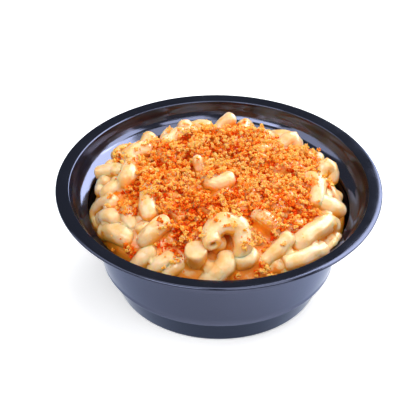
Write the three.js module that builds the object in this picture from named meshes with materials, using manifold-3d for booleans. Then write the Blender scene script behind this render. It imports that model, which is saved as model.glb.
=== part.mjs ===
// A round take-away bowl of black moulded plastic, filled with a heap of macaroni and cheese.
// Units are millimetres and +Z is up. The origin is the middle of the bowl's foot, on the table.
// The wide flat flange is the rim that a lid clips to, and the shoulder low on the wall lets bowls stack.
import * as THREE from "three";
import { mergeVertices } from "three/addons/utils/BufferGeometryUtils.js";
import Module from "manifold-3d";

const wasm = await Module();
wasm.setup();

// The bowl.
const WALL = 1.0; // thickness of the plastic
const RIM_RADIUS = 90;
const RIM_HEIGHT = 63.5;
const FLANGE_WIDTH = 7.5; // from the flange's outer edge to the mouth
const FLANGE_BEVEL = 3.0; // the outer part of the flange, which falls away a little
const FLANGE_CROWN = 0.2; // how far the flange rises to that bevel
const FLANGE_EDGE = 1.3; // height of the flange's outer edge
const LID_SEAT_RADIUS = 78.8;
const LID_SEAT_DEPTH = 3.8; // below the rim
const LEDGE_RADIUS = 77.4; // the outer end of the sloping ledge below the steep mouth
const LEDGE_DEPTH = 10.2;
const LIP_RADIUS = 73.4; // the ledge's inner lip, over the upright band
const LIP_DEPTH = 13.6;
const BAND_HEIGHT = 4.4; // of the upright band under the lip
const BAND_FLARE = 0.2; // how much wider the band is at its foot
const SHOULDER_RADIUS = 65.7; // outside
const SHOULDER_HEIGHT = 17.9;
const SHOULDER_ROUND = 1.0;
const SHOULDER_STEP = 3.9; // how far the shoulder steps in
const SHOULDER_DROP = 2.1; // and how far it falls as it does
const FOOT_RADIUS = 57.6;
const FOOT_ROUND = 1.6;
const FOOT_RING = 5; // width of the flat ring that the bowl stands on
const FOOT_RECESS = 0.8; // the base inside that ring is raised by this much
const BOWL_SEGMENTS = 60;

// The food.
const GAP = 0.3; // clearance between the food and the plastic
const CROWN_RISE = 6; // top of the core above the rim
const CROWN_POWER = 3.2; // the curve of the crown: a higher power is flatter on top
const CROWN_RINGS = 6;
const EDGE_RADIUS = 70; // foot of the crown
const EDGE_HEIGHT = 47;
const CORE_SEGMENTS = 36;

// One piece of pasta, a short tube that follows a helix.
const TUBE_RADIUS = 4.7;
const TUBE_SIDES = 7;
const TUBE_STEPS = 7;
const CURL_RADIUS = 6.0; // of the helix
const CURL_TURN = 3.7; // in radians
const CURL_RISE = 16; // length along the helix's own axis
const PASTA_COUNT = 42;
const PASTA_SPREAD = 62; // radius of the disc over which the pieces' middles are spread
const PASTA_REACH = 69; // no piece goes further out than this
const PASTA_SINK = 1.2; // how far a piece's middle lies under the core's surface
const PASTA_TILT = 0.2; // greatest lean of a piece out of the surface, in radians

// Steps in radians from one piece to the next, chosen so that no two neighbours lie alike.
const BEARING_STEP = Math.PI * (3 - Math.sqrt(5)); // the golden angle, which spreads them evenly
const SWING_STEP = 1.0;
const ROLL_STEP = 2.1;
const TILT_STEP = 7.3;

const MERGE_DISTANCE = 1e-4;

const plastic = new THREE.MeshStandardMaterial({ color: 0x10131c, roughness: 0.22, metalness: 0 });
const cheesyPasta = new THREE.MeshStandardMaterial({ color: 0xefc98a, roughness: 0.38, metalness: 0 });

/** A solid of revolution about Z, from [radius, height] pairs that start and end on the axis. */
function turned(profile, segments) {
  const points = profile.map(([radius, height]) => new THREE.Vector2(radius, height));
  return new THREE.LatheGeometry(points, segments).rotateX(Math.PI / 2);
}

/** The manifold solid of a closed geometry. */
function solidOf(geometry) {
  const bare = geometry.clone();
  bare.deleteAttribute("normal");
  bare.deleteAttribute("uv");
  const merged = mergeVertices(bare, MERGE_DISTANCE);
  const mesh = new wasm.Mesh({
    numProp: 3,
    vertProperties: merged.attributes.position.array,
    triVerts: new Uint32Array(merged.index.array),
  });
  return new wasm.Manifold(mesh);
}

/** The three.js geometry of a manifold solid. */
function geometryOf(solid) {
  const { vertProperties, triVerts } = solid.getMesh();
  const geometry = new THREE.BufferGeometry();
  geometry.setAttribute("position", new THREE.BufferAttribute(new Float32Array(vertProperties), 3));
  geometry.setIndex(new THREE.BufferAttribute(new Uint32Array(triVerts), 1));
  geometry.computeVertexNormals();
  return geometry;
}

/** The outside of the bowl, from the middle of its underside up to the flange. */
function outerProfile() {
  const bandTop = RIM_HEIGHT - LIP_DEPTH;
  const ringOuter = FOOT_RADIUS - FOOT_ROUND;
  const ringInner = ringOuter - FOOT_RING;
  const flangeUnder = RIM_HEIGHT - FLANGE_EDGE;
  return [
    [0, FOOT_RECESS],
    [ringInner - FOOT_RECESS, FOOT_RECESS],
    [ringInner, 0],
    [ringOuter, 0],
    [FOOT_RADIUS - 0.3 * FOOT_ROUND, 0.3 * FOOT_ROUND],
    [FOOT_RADIUS, FOOT_ROUND],
    [SHOULDER_RADIUS - SHOULDER_STEP, SHOULDER_HEIGHT - SHOULDER_DROP],
    [SHOULDER_RADIUS - SHOULDER_ROUND, SHOULDER_HEIGHT - SHOULDER_ROUND],
    [SHOULDER_RADIUS, SHOULDER_HEIGHT],
    [LIP_RADIUS + BAND_FLARE + WALL, bandTop - BAND_HEIGHT],
    [LIP_RADIUS + WALL, bandTop - WALL / 2],
    [LEDGE_RADIUS + WALL, RIM_HEIGHT - LEDGE_DEPTH - WALL / 2],
    [LID_SEAT_RADIUS + WALL, RIM_HEIGHT - LID_SEAT_DEPTH - WALL / 2],
    [RIM_RADIUS - FLANGE_WIDTH + WALL / 2, flangeUnder],
    [RIM_RADIUS - FLANGE_CROWN, flangeUnder],
    [RIM_RADIUS, flangeUnder + FLANGE_CROWN],
    [RIM_RADIUS, RIM_HEIGHT - FLANGE_CROWN],
  ];
}

/** The flange's top and the mouth inside it, from the flange's bevel down to the ledge's lip. */
function mouthProfile() {
  return [
    [RIM_RADIUS - FLANGE_BEVEL, RIM_HEIGHT + FLANGE_CROWN],
    [RIM_RADIUS - FLANGE_WIDTH, RIM_HEIGHT],
    [LID_SEAT_RADIUS, RIM_HEIGHT - LID_SEAT_DEPTH],
    [LEDGE_RADIUS, RIM_HEIGHT - LEDGE_DEPTH],
    [LIP_RADIUS, RIM_HEIGHT - LIP_DEPTH],
  ];
}

/** The inside below the lip, from the upright band's foot to the middle of the floor, moved in by inset. */
function basinProfile(inset) {
  const floor = FOOT_RECESS + WALL;
  return [
    [LIP_RADIUS + BAND_FLARE - inset, RIM_HEIGHT - LIP_DEPTH - BAND_HEIGHT],
    [SHOULDER_RADIUS - WALL - inset, SHOULDER_HEIGHT + WALL / 2],
    [SHOULDER_RADIUS - SHOULDER_STEP - WALL - inset, SHOULDER_HEIGHT - SHOULDER_DROP + WALL],
    [FOOT_RADIUS - WALL - inset, FOOT_ROUND + floor],
    [FOOT_RADIUS - WALL - FOOT_ROUND - inset, floor + inset],
    [0, floor + inset],
  ];
}

/** The bowl, turned in one piece. */
function bowlMesh() {
  const profile = [...outerProfile(), ...mouthProfile(), ...basinProfile(0)];
  const mesh = new THREE.Mesh(turned(profile, BOWL_SEGMENTS), plastic);
  mesh.name = "bowl";
  return mesh;
}

/** Height of the food's core at a distance from the middle. */
function crownHeight(radius) {
  const share = Math.min(radius / EDGE_RADIUS, 1) ** CROWN_POWER;
  const peak = RIM_HEIGHT + CROWN_RISE;
  return peak - (peak - EDGE_HEIGHT) * share;
}

/** The food's core: it fills the basin and rises in a flat-topped crown. */
function coreSolid() {
  const basin = basinProfile(GAP).reverse();
  const [wallFoot] = basin.splice(-1);
  const crown = [];
  for (let ring = 0; ring <= CROWN_RINGS; ring++) {
    const radius = EDGE_RADIUS * Math.sqrt(1 - ring / CROWN_RINGS);
    crown.push([radius, crownHeight(radius)]);
  }
  const wallTop = [LIP_RADIUS - GAP, EDGE_HEIGHT];
  return solidOf(turned([...basin, wallFoot, wallTop, ...crown], CORE_SEGMENTS));
}

/** The helix that one piece of pasta follows, centred on its own middle and lying along X. */
class Curl extends THREE.Curve {
  getPoint(share, target = new THREE.Vector3()) {
    const angle = (share - 0.5) * CURL_TURN;
    const middle = (CURL_RADIUS * Math.sin(CURL_TURN / 2)) / (CURL_TURN / 2);
    return target.set(
      (share - 0.5) * CURL_RISE,
      CURL_RADIUS * Math.sin(angle),
      CURL_RADIUS * Math.cos(angle) - middle,
    );
  }
}

/** One piece of pasta, closed at its ends. */
function pastaGeometry() {
  const section = new THREE.Shape();
  for (let side = 0; side < TUBE_SIDES; side++) {
    const angle = (side / TUBE_SIDES) * 2 * Math.PI;
    const move = side === 0 ? "moveTo" : "lineTo";
    section[move](TUBE_RADIUS * Math.cos(angle), TUBE_RADIUS * Math.sin(angle));
  }
  section.closePath();
  return new THREE.ExtrudeGeometry(section, { steps: TUBE_STEPS, extrudePath: new Curl() });
}

/** Where one of the pieces lies on the crown: spread like seeds on a disc, each turned its own way. */
function pastaPlace(index) {
  const radius = PASTA_SPREAD * Math.sqrt((index + 0.5) / PASTA_COUNT);
  const bearing = index * BEARING_STEP;
  const swing = index * SWING_STEP; // of the piece's axis, from straight outwards
  const slope = (crownHeight(radius + 1) - crownHeight(radius - 1)) / 2;
  const lean = Math.atan(-slope) * Math.cos(swing) + PASTA_TILT * Math.sin(index * TILT_STEP);
  const place = new THREE.Object3D();
  place.rotation.order = "ZYX";
  place.rotation.set(index * ROLL_STEP, lean, bearing + swing);
  const height = crownHeight(radius) - PASTA_SINK;
  place.position.set(radius * Math.cos(bearing), radius * Math.sin(bearing), height);
  place.updateMatrix();
  return place.matrix;
}

/** A piece that is moved towards the middle until none of it passes PASTA_REACH. */
function heldIn(geometry) {
  const position = geometry.getAttribute("position");
  const middle = new THREE.Vector3();
  geometry.computeBoundingBox();
  geometry.boundingBox.getCenter(middle);
  let reach = 0;
  for (let i = 0; i < position.count; i++) {
    reach = Math.max(reach, Math.hypot(position.getX(i), position.getY(i)));
  }
  const excess = Math.max(reach - PASTA_REACH, 0);
  const inward = middle.setZ(0).normalize().multiplyScalar(-excess);
  return geometry.translate(inward.x, inward.y, 0);
}

/** The food: the core with its top layer of pasta, in one solid. */
function foodMesh() {
  let solid = coreSolid();
  const piece = pastaGeometry();
  for (let index = 0; index < PASTA_COUNT; index++) {
    const placed = heldIn(piece.clone().applyMatrix4(pastaPlace(index)));
    solid = solid.add(solidOf(placed));
  }
  const mesh = new THREE.Mesh(geometryOf(solid), cheesyPasta);
  mesh.name = "mac_and_cheese";
  return mesh;
}

const macAndCheese = new THREE.Group();
macAndCheese.add(bowlMesh(), foodMesh());

export default macAndCheese;
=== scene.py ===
"""A bowl of macaroni and cheese under toasted crumbs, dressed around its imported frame.

Lengths are in millimetres until a piece is finished, when its mesh is scaled to metres. +Z is up,
-Y is the front, and the origin is the middle of the bowl's foot.
"""

import logging
import math
from dataclasses import dataclass, field, replace
from enum import Enum

import bmesh
import bpy
import numpy as np
from mathutils import Matrix, Vector, noise
from mathutils.bvhtree import BVHTree


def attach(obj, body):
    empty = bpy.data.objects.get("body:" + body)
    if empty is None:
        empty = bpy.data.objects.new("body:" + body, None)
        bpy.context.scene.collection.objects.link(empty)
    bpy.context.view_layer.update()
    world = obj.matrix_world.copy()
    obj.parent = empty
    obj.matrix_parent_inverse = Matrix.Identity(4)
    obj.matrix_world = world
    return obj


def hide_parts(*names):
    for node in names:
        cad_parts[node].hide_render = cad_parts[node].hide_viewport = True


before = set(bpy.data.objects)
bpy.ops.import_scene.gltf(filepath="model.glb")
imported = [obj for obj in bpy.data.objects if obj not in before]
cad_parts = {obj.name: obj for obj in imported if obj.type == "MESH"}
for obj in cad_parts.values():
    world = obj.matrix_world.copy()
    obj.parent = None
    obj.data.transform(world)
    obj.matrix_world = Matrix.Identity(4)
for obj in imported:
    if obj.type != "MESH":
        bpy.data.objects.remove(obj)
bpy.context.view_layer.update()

log = logging.getLogger("mac_and_cheese")

MM = 0.001
BODY = "root"
NOISE_SEED = 5
TOUCHING = 1e-4

Colour = tuple[float, float, float]
Point = tuple[float, float, float]
Range = tuple[float, float]
Numbers = np.ndarray | float
Socket = bpy.types.NodeSocket
Piece = bpy.types.Object
BMesh = bmesh.types.BMesh


class Slot(Enum):
    """The record's material slots."""

    BOWL = "bowl_plastic"
    PASTA = "cheesy_pasta"
    CRUMBS = "toasted_crumbs"


class Node(Enum):
    """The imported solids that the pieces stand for."""

    BOWL = "bowl"
    FOOD = "mac_and_cheese"


# Materials


@dataclass(frozen=True)
class Grain:
    """A noise: the size of its largest features in mm, its finer layers and their strength."""

    size: float
    detail: float = 3.0
    roughness: float = 0.5


class Shader:
    """A new material with a Principled shader, and short calls that add nodes to it."""

    usual_noise: Range = (0.3, 0.7)

    def __init__(self, name: str) -> None:
        """Starts the material.

        Args:
            name: The material's name.
        """
        self.material = bpy.data.materials.new(name)
        self.material.use_nodes = True
        self.tree = self.material.node_tree
        self.place = self.add("ShaderNodeTexCoord", {}).outputs["Object"]

    def fill(self, node: bpy.types.Node, inputs: dict[str | int, object]) -> None:
        """Links outputs to a node's inputs, or sets the inputs' own values.

        Args:
            node: The node.
            inputs: For each input an output to link, a number, or a colour without its alpha.
        """
        for key, value in inputs.items():
            socket = node.inputs[key]
            if isinstance(value, Socket):
                self.tree.links.new(value, socket)
            else:
                socket.default_value = (*value, 1.0) if socket.type == "RGBA" else value

    def add(self, kind: str, inputs: dict[str | int, object], **settings: object) -> bpy.types.Node:
        """Adds a node.

        Args:
            kind: The node's type name.
            inputs: What its inputs get.
            settings: Its properties by name.

        Returns:
            The new node.
        """
        node = self.tree.nodes.new(kind)
        for name, value in settings.items():
            setattr(node, name, value)
        self.fill(node, inputs)
        return node

    def surface(self, inputs: dict[str, object]) -> None:
        """Fills the Principled shader's inputs by name."""
        self.fill(self.tree.nodes["Principled BSDF"], inputs)

    def attribute(self, name: str) -> Socket:
        """Reads one of the mesh's own values, by its name."""
        return self.add("ShaderNodeAttribute", {}, attribute_name=name).outputs["Fac"]

    def maths(self, operation: str, first: object, second: object = 0.0) -> Socket:
        """Adds a sum, product or other operation on two values."""
        return self.add("ShaderNodeMath", {0: first, 1: second}, operation=operation).outputs[0]

    def noise(self, grain: Grain, place: Socket | None = None) -> Socket:
        """Adds a noise over the object.

        Args:
            grain: Its size, layers and strength.
            place: Other coordinates than the object's own.

        Returns:
            The noise's factor.
        """
        return self.add("ShaderNodeTexNoise", {
            "Vector": place or self.place, "Scale": 1 / (grain.size * MM),
            "Detail": grain.detail, "Roughness": grain.roughness}).outputs[0]

    def span(self, value: object, low: float, high: float, to_low: float = 0.0,
             to_high: float = 1.0) -> Socket:
        """Maps a value from one range to another, and holds it inside.

        Args:
            value: What is mapped.
            low: The value that gives to_low.
            high: The value that gives to_high.
            to_low: The result's start.
            to_high: The result's end.

        Returns:
            The mapped value.
        """
        return self.add("ShaderNodeMapRange", {
            "Value": value, "From Min": low, "From Max": high, "To Min": to_low,
            "To Max": to_high}, interpolation_type="SMOOTHSTEP").outputs["Result"]

    def swing(self, factor: Socket, low: float, high: float) -> Socket:
        """Maps the usual range of a noise to another range."""
        return self.span(factor, *self.usual_noise, low, high)

    def ramp(self, factor: Socket, stops: tuple[tuple[float, Colour], ...]) -> Socket:
        """Adds a colour ramp.

        Args:
            factor: What drives it.
            stops: Its positions and colours.

        Returns:
            The colour.
        """
        node = self.add("ShaderNodeValToRGB", {"Fac": factor})
        elements = node.color_ramp.elements
        while len(elements) < len(stops):
            elements.new(0.5)
        for element, (position, colour) in zip(elements, stops):
            element.position = position
            element.color = (*colour, 1.0)
        return node.outputs["Color"]

    def mix(self, factor: object, first: object, second: object) -> Socket:
        """Mixes two colours.

        Args:
            factor: The share of the second.
            first: The first colour.
            second: The second colour.

        Returns:
            The mixed colour.
        """
        node = self.add("ShaderNodeMix", {0: factor}, data_type="RGBA")
        colours = [index for index, socket in enumerate(node.inputs) if socket.type == "RGBA"]
        self.fill(node, dict(zip(colours, (first, second))))
        return next(socket for socket in node.outputs if socket.type == "RGBA")

    def bump(self, height: Socket, depth: float, strength: float,
             under: Socket | None = None) -> Socket:
        """Adds relief.

        Args:
            height: The relief's height, from 0 to 1.
            depth: Its depth, in mm.
            strength: How much of it shows.
            under: The normal of another relief below it.

        Returns:
            The normal.
        """
        below = {} if under is None else {"Normal": under}
        return self.add("ShaderNodeBump", {"Height": height, "Distance": depth * MM,
                                           "Strength": strength, **below}).outputs["Normal"]


@dataclass(frozen=True)
class MouldedPlastic:
    """Glossy black plastic with a blue cast and faint rings, as a thin moulded bowl has.

    Its colour, which sets how brightly it reflects, is painted by height. The foot has only a small
    share of the bright colour, so it is painted darker, a painted shade. Each step raises or lowers
    that share between two heights: at the shoulder's edge, where it paints a highlight band, over
    the wall, and below the flange, where it paints the flange darker, a painted shade.
    """

    # Painted light: a shaded and a lit copy of the one plastic, mixed by height.
    shaded_plastic: Colour = (0.001, 0.003, 0.009)
    lit_plastic: Colour = (0.085, 0.093, 0.142)
    grazing: Colour = (0.74, 0.81, 1.0)
    shaded_foot_share: float = 0.17
    steps: tuple[tuple[float, float, float], ...] = (
        (16.4, 17.2, 0.83), (17.8, 22.2, -0.3), (61.6, 62.4, -0.2))
    patches: Grain = Grain(22.0, 4.0, 0.6)
    roughness: Range = (0.07, 0.16)
    ripple: Grain = Grain(14.0, 1.0)
    ripple_depth: float = 0.05
    ripple_strength: float = 0.5
    rings: Grain = Grain(0.9, 3.0, 0.6)
    ring_depth: float = 0.02
    ring_strength: float = 1.0

    def material(self) -> bpy.types.Material:
        """Builds the material."""
        shader = Shader("moulded_black_plastic")
        x, y, z = shader.add("ShaderNodeSeparateXYZ", {0: shader.place}).outputs
        squares = [shader.maths("POWER", side, 2.0) for side in (x, y)]
        out = shader.maths("SQRT", shader.maths("ADD", *squares))
        section = shader.add("ShaderNodeCombineXYZ", {"X": out, "Y": z}).outputs[0]
        ripple = shader.bump(shader.noise(self.ripple), self.ripple_depth, self.ripple_strength)
        rings = shader.bump(shader.noise(self.rings, section), self.ring_depth,
                            self.ring_strength, ripple)
        # Painted highlight and shade: the share of the bright colour steps with height.
        share = self.shaded_foot_share
        for low, high, change in self.steps:
            share = shader.maths("ADD", share, shader.span(z, low * MM, high * MM, 0.0, change))
        shader.surface({
            "Base Color": shader.mix(share, self.shaded_plastic, self.lit_plastic),
            "Metallic": 0.9,
            "Roughness": shader.swing(shader.noise(self.patches), *self.roughness),
            "IOR": 1.6,
            "Specular Tint": self.grazing,
            "Normal": rings,
        })
        return shader.material


@dataclass(frozen=True)
class CheeseCoat:
    """A wet coat of cheese sauce, pale where it is thin and high, and orange lower down and where
    it faces down: partly where the sauce gathers, and partly painted shade in the creases and under
    the pieces.

    The mesh's own values say how deep each point lies, how far it faces down and how much crumb
    dust it has. The colour turns deep over a range of depths in mm, where a point that faces down
    counts as shade_depth deeper; this darkening with depth and on downward faces is painted shade.
    """

    name: str
    pale: Colour
    warm: Colour
    # The deep colour is partly sauce that gathers low and partly painted shade.
    deep: Colour
    dust: Colour
    shade_deepening: Range
    relief: Grain
    relief_depth: float
    coat: float
    depth_shade_share: float = 0.36
    shade_depth: float = 14.0
    cloud: Grain = Grain(6.0, 3.0, 0.55)
    cloud_warmth: Range = (0.35, 0.7)
    cloud_depth: float = 1.5
    speck: Grain = Grain(0.9, 2.0, 0.6)
    speck_swing: float = 0.35
    dusting: Range = (0.3, 0.75)
    skin: Grain = Grain(0.6, 2.0)
    skin_depth: float = 0.02
    relief_strength: float = 0.6
    wetness: Grain = Grain(3.0)
    roughness: Range = (0.26, 0.42)

    def material(self) -> bpy.types.Material:
        """Builds the material."""
        shader = Shader(self.name)
        cloud, speck = shader.noise(self.cloud), shader.noise(self.speck)
        thin = shader.mix(shader.span(cloud, *self.cloud_warmth), self.pale, self.warm)
        # Painted shade: the colour deepens with depth below the mound and on faces that face down.
        low = shader.maths(
            "ADD", shader.maths("MULTIPLY", shader.attribute("depth"), self.depth_shade_share),
            shader.maths("MULTIPLY", shader.attribute("shade"), self.shade_depth))
        low = shader.maths("ADD", low, shader.swing(cloud, -self.cloud_depth, self.cloud_depth))
        body = shader.mix(shader.span(low, *self.shade_deepening), thin, self.deep)
        dust = shader.maths("ADD", shader.attribute("dust"),
                            shader.swing(speck, -self.speck_swing, self.speck_swing))
        relief = shader.bump(shader.noise(self.relief), self.relief_depth, self.relief_strength)
        shader.surface({
            "Base Color": shader.mix(shader.span(dust, *self.dusting), body, self.dust),
            "Roughness": shader.swing(shader.noise(self.wetness), *self.roughness),
            "IOR": 1.42,
            "Specular IOR Level": 0.3,
            "Subsurface Weight": 0.8,
            "Subsurface Radius": (1.0, 0.5, 0.18),
            "Subsurface Scale": 3.4 * MM,
            "Coat Weight": self.coat,
            "Coat Roughness": 0.07,
            "Normal": shader.bump(shader.noise(self.skin), self.skin_depth,
                                  self.relief_strength, relief),
        })
        return shader.material


# The deep colours here are partly painted shade.
ON_PASTA = CheeseCoat(
    "sauced_pasta", pale=(0.81, 0.575, 0.32), warm=(0.79, 0.45, 0.15), deep=(0.95, 0.37, 0.04),
    dust=(0.84, 0.30, 0.04), shade_deepening=(1.8, 9.0), relief=Grain(2.8), relief_depth=0.35, coat=0.6)
POOLED = CheeseCoat(
    "cheese_sauce", pale=(0.78, 0.52, 0.24), warm=(0.75, 0.38, 0.09), deep=(0.80, 0.24, 0.012),
    dust=(0.82, 0.24, 0.02), shade_deepening=(0.7, 4.2), relief=Grain(3.2), relief_depth=0.4, coat=0.7)


@dataclass(frozen=True)
class ToastedCrumb:
    """Dry toasted crumb, from pale gold to deep orange by its tone."""

    stops: tuple[tuple[float, Colour], ...] = (
        (0.0, (1.0, 0.51, 0.14)),
        (0.25, (1.0, 0.37, 0.055)),
        (0.5, (1.0, 0.235, 0.016)),
        (0.75, (0.95, 0.135, 0.005)),
        (1.0, (0.82, 0.055, 0.001)),
    )
    grain: Grain = Grain(0.9, 3.0, 0.6)
    tone_swing: float = 0.22
    grain_depth: float = 0.3
    grain_strength: float = 0.8

    def material(self) -> bpy.types.Material:
        """Builds the material."""
        shader = Shader("toasted_crumb")
        grain = shader.noise(self.grain)
        tone = shader.maths("ADD", shader.attribute("tone"),
                            shader.swing(grain, -self.tone_swing, self.tone_swing))
        shader.surface({
            "Base Color": shader.ramp(tone, self.stops),
            "Roughness": 0.7,
            "Specular IOR Level": 0.06,
            "Subsurface Weight": 0.6,
            "Subsurface Radius": (1.0, 0.35, 0.06),
            "Subsurface Scale": 1.6 * MM,
            "Normal": shader.bump(grain, self.grain_depth, self.grain_strength),
        })
        return shader.material


@dataclass(frozen=True)
class PaleTable:
    """The matt white table, which is lit a little from below."""

    colour: Colour = (0.93, 0.93, 0.94)
    cloudy: Colour = (0.9, 0.9, 0.92)
    cloud: Grain = Grain(400.0, 2.0)
    most_cloud: float = 0.02
    glow: float = 0.42

    def material(self) -> bpy.types.Material:
        """Builds the material."""
        shader = Shader("pale_table")
        cloud = shader.swing(shader.noise(self.cloud), 0.0, self.most_cloud)
        shader.surface({
            "Base Color": shader.mix(cloud, self.colour, self.cloudy),
            "Roughness": 0.8,
            "Emission Color": (1.0, 1.0, 1.0),
            "Emission Strength": self.glow,
        })
        return shader.material


# Meshes


def placed(name: str, mesh: bpy.types.Mesh) -> Piece:
    """Puts a mesh into the scene at the origin.

    Args:
        name: The object's name.
        mesh: Its mesh.

    Returns:
        The object.
    """
    piece = bpy.data.objects.new(name, mesh)
    bpy.context.scene.collection.objects.link(piece)
    return piece


def finished(bm: BMesh, name: str, material: bpy.types.Material, scale: float = MM) -> Piece:
    """Turns a bmesh into a smooth-shaded object at the origin.

    Args:
        bm: The shape, which is freed.
        name: The object's name.
        material: Its finish.
        scale: What its lengths are multiplied by.

    Returns:
        The object, linked to the scene.
    """
    bmesh.ops.scale(bm, vec=(scale, scale, scale), verts=bm.verts)
    for face in bm.faces:
        face.smooth = True
    mesh = bpy.data.meshes.new(name)
    bm.to_mesh(mesh)
    bm.free()
    mesh.materials.append(material)
    return placed(name, mesh)


def hand_in(piece: Piece, node: Node) -> None:
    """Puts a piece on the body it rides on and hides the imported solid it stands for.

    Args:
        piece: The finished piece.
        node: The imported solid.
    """
    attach(piece, BODY)
    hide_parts(node.value)
    piece.data.calc_loop_triangles()
    log.info("%s: %d triangles", piece.name, len(piece.data.loop_triangles))


def set_point_values(mesh: bpy.types.Mesh, name: str, values: np.ndarray) -> None:
    """Stores a number for each vertex, for the materials to read by its name."""
    layer = mesh.attributes.new(name, "FLOAT", "POINT")
    layer.data.foreach_set("value", values.astype(np.float32))


@dataclass(frozen=True)
class Corner:
    """A corner of a profile, with the radius that rounds it."""

    radius: float
    height: float
    rounding: float = 0.0


def turned(corners: list[Corner], segments: int, rounding_steps: int = 1) -> BMesh:
    """Spins a rounded profile round the bowl's axis.

    Args:
        corners: The profile, from the axis and back to it.
        segments: How many steps the full turn has.
        rounding_steps: How many steps each rounded corner has.

    Returns:
        The closed shape.
    """
    bm = bmesh.new()
    verts = [bm.verts.new((corner.radius, 0, corner.height)) for corner in corners]
    for one, other in zip(verts, verts[1:]):
        bm.edges.new((one, other))
    for vert, corner in zip(verts, corners):
        if corner.rounding:
            bmesh.ops.bevel(bm, geom=[vert], offset=corner.rounding, offset_type="OFFSET",
                            affect="VERTICES", segments=rounding_steps, profile=0.5, material=-1)
    bmesh.ops.spin(bm, geom=[*bm.verts, *bm.edges], cent=(0, 0, 0), axis=(0, 0, 1),
                   dvec=(0, 0, 0), angle=2 * math.pi, steps=segments, use_merge=True,
                   use_duplicate=False)
    bmesh.ops.remove_doubles(bm, verts=bm.verts, dist=TOUCHING)
    bmesh.ops.recalc_face_normals(bm, faces=bm.faces)
    return bm


# The bowl


@dataclass
class Bowl:
    """The moulded bowl, turned in one piece: flange, lid seat, ledge, wall, shoulder and foot.

    Depths go down from the rim. shoulder_edge is where the shoulder's edge begins and ends, from
    its height, and foot_ring is how far in the ring's flat and its inner slope end.
    """

    rim_radius: float = 90.0
    rim_height: float = 63.5
    wall: float = 1.0
    flange_width: float = 7.5
    flange_bevel: float = 3.0
    flange_crown: float = 0.2
    flange_lean: float = 0.8
    flange_side: float = 0.45
    flange_edge: float = 1.3
    seat_radius: float = 80.9
    seat_depth: float = 4.8
    curve_radius: float = 79.0
    curve_depth: float = 8.0
    ledge_radius: float = 77.2
    ledge_depth: float = 9.9
    lip_radius: float = 72.6
    lip_depth: float = 12.1
    band_height: float = 4.4
    band_flare: float = 0.2
    shoulder_radius: float = 65.5
    shoulder_height: float = 17.5
    shoulder_step: float = 3.9
    shoulder_drop: float = 2.1
    shoulder_edge: Range = (-0.3, 1.8)
    foot_radius: float = 57.6
    foot_edge: float = 0.4
    foot_ring: Range = (6.6, 7.4)
    foot_recess: float = 0.8
    floor_inset: float = 0.6
    inner_corners: int = 9
    segments: int = 256
    rounding_steps: int = 5

    def corners(self) -> list[Corner]:
        """Lists the profile's corners, from the underside round the flange to the floor.

        Returns:
            The corners.
        """
        rim, wall, half = self.rim_height, self.wall, self.wall / 2
        lip, ledge, seat = rim - self.lip_depth, rim - self.ledge_depth, rim - self.seat_depth
        curve, band_foot = rim - self.curve_depth, lip - self.band_height
        under, top = rim - self.flange_edge, rim + self.flange_crown
        step = self.shoulder_radius - self.shoulder_step
        drop = self.shoulder_height - self.shoulder_drop
        edge_low, edge_high = self.shoulder_edge
        ring, recess = self.foot_ring
        floor = self.foot_recess + wall
        return [
            Corner(0, self.foot_recess),
            Corner(self.foot_radius - recess, self.foot_recess, 0.5),
            Corner(self.foot_radius - ring, 0.0, 0.4),
            Corner(self.foot_radius - self.foot_edge, 0.0, 1.5),
            Corner(step, drop, 0.5),
            Corner(self.shoulder_radius, self.shoulder_height + edge_low, 0.5),
            Corner(self.shoulder_radius, self.shoulder_height + edge_high, 1.4),
            Corner(self.lip_radius + self.band_flare + wall, band_foot, 0.5),
            Corner(self.lip_radius + wall, lip - half, 0.4),
            Corner(self.ledge_radius + wall, ledge - half, 1.5),
            Corner(self.curve_radius + wall, curve - half, 1.2),
            Corner(self.seat_radius + wall, seat - half, 0.4),
            Corner(self.rim_radius - self.flange_width + half, under, 0.6),
            Corner(self.rim_radius, under, 0.35),
            Corner(self.rim_radius, rim - self.flange_side, 0.35),
            Corner(self.rim_radius - self.flange_lean, top, 0.5),
            Corner(self.rim_radius - self.flange_bevel, top, 0.6),
            Corner(self.rim_radius - self.flange_width, rim, 0.5),
            Corner(self.seat_radius, seat, 1.0),
            Corner(self.curve_radius, curve, 1.2),
            Corner(self.ledge_radius, ledge, 1.2),
            Corner(self.lip_radius, lip, 0.4),
            Corner(self.lip_radius + self.band_flare, band_foot, 0.8),
            Corner(self.shoulder_radius - wall, self.shoulder_height + half, 0.8),
            Corner(step - wall, drop + wall, 0.8),
            Corner(self.foot_radius - wall - self.floor_inset, floor, 2.0),
            Corner(0, floor),
        ]

    def inner_radius(self, height: Numbers) -> Numbers:
        """How far out the inside of the wall is at a height above the table."""
        inner = sorted((c.height, c.radius) for c in self.corners()[-1 - self.inner_corners:-1])
        return np.interp(height, *zip(*inner))

    def keep_inside(self, bm: BMesh, gap: float) -> None:
        """Presses whatever comes nearer to the wall than a gap back inside.

        Args:
            bm: The food, in mm.
            gap: The gap, in mm.
        """
        for vert in bm.verts:
            out = math.hypot(vert.co.x, vert.co.y)
            most = float(self.inner_radius(vert.co.z)) - gap
            if out > most:
                vert.co.x *= most / out
                vert.co.y *= most / out

    def build(self, plastic: bpy.types.Material) -> Piece:
        """Makes the bowl in its finish."""
        shape = turned(self.corners(), self.segments, self.rounding_steps)
        return finished(shape, "bowl_shell", plastic)


# The heap of pasta


@dataclass(frozen=True)
class Dip:
    """A round place where the food lies lower, or higher where its depth is negative."""

    x: float
    y: float
    radius: float
    depth: float

    def at(self, x: Numbers, y: Numbers) -> Numbers:
        """How much lower the food is at a place on the plan."""
        return self.depth * np.exp(-((x - self.x) ** 2 + (y - self.y) ** 2) / self.radius ** 2)


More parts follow.
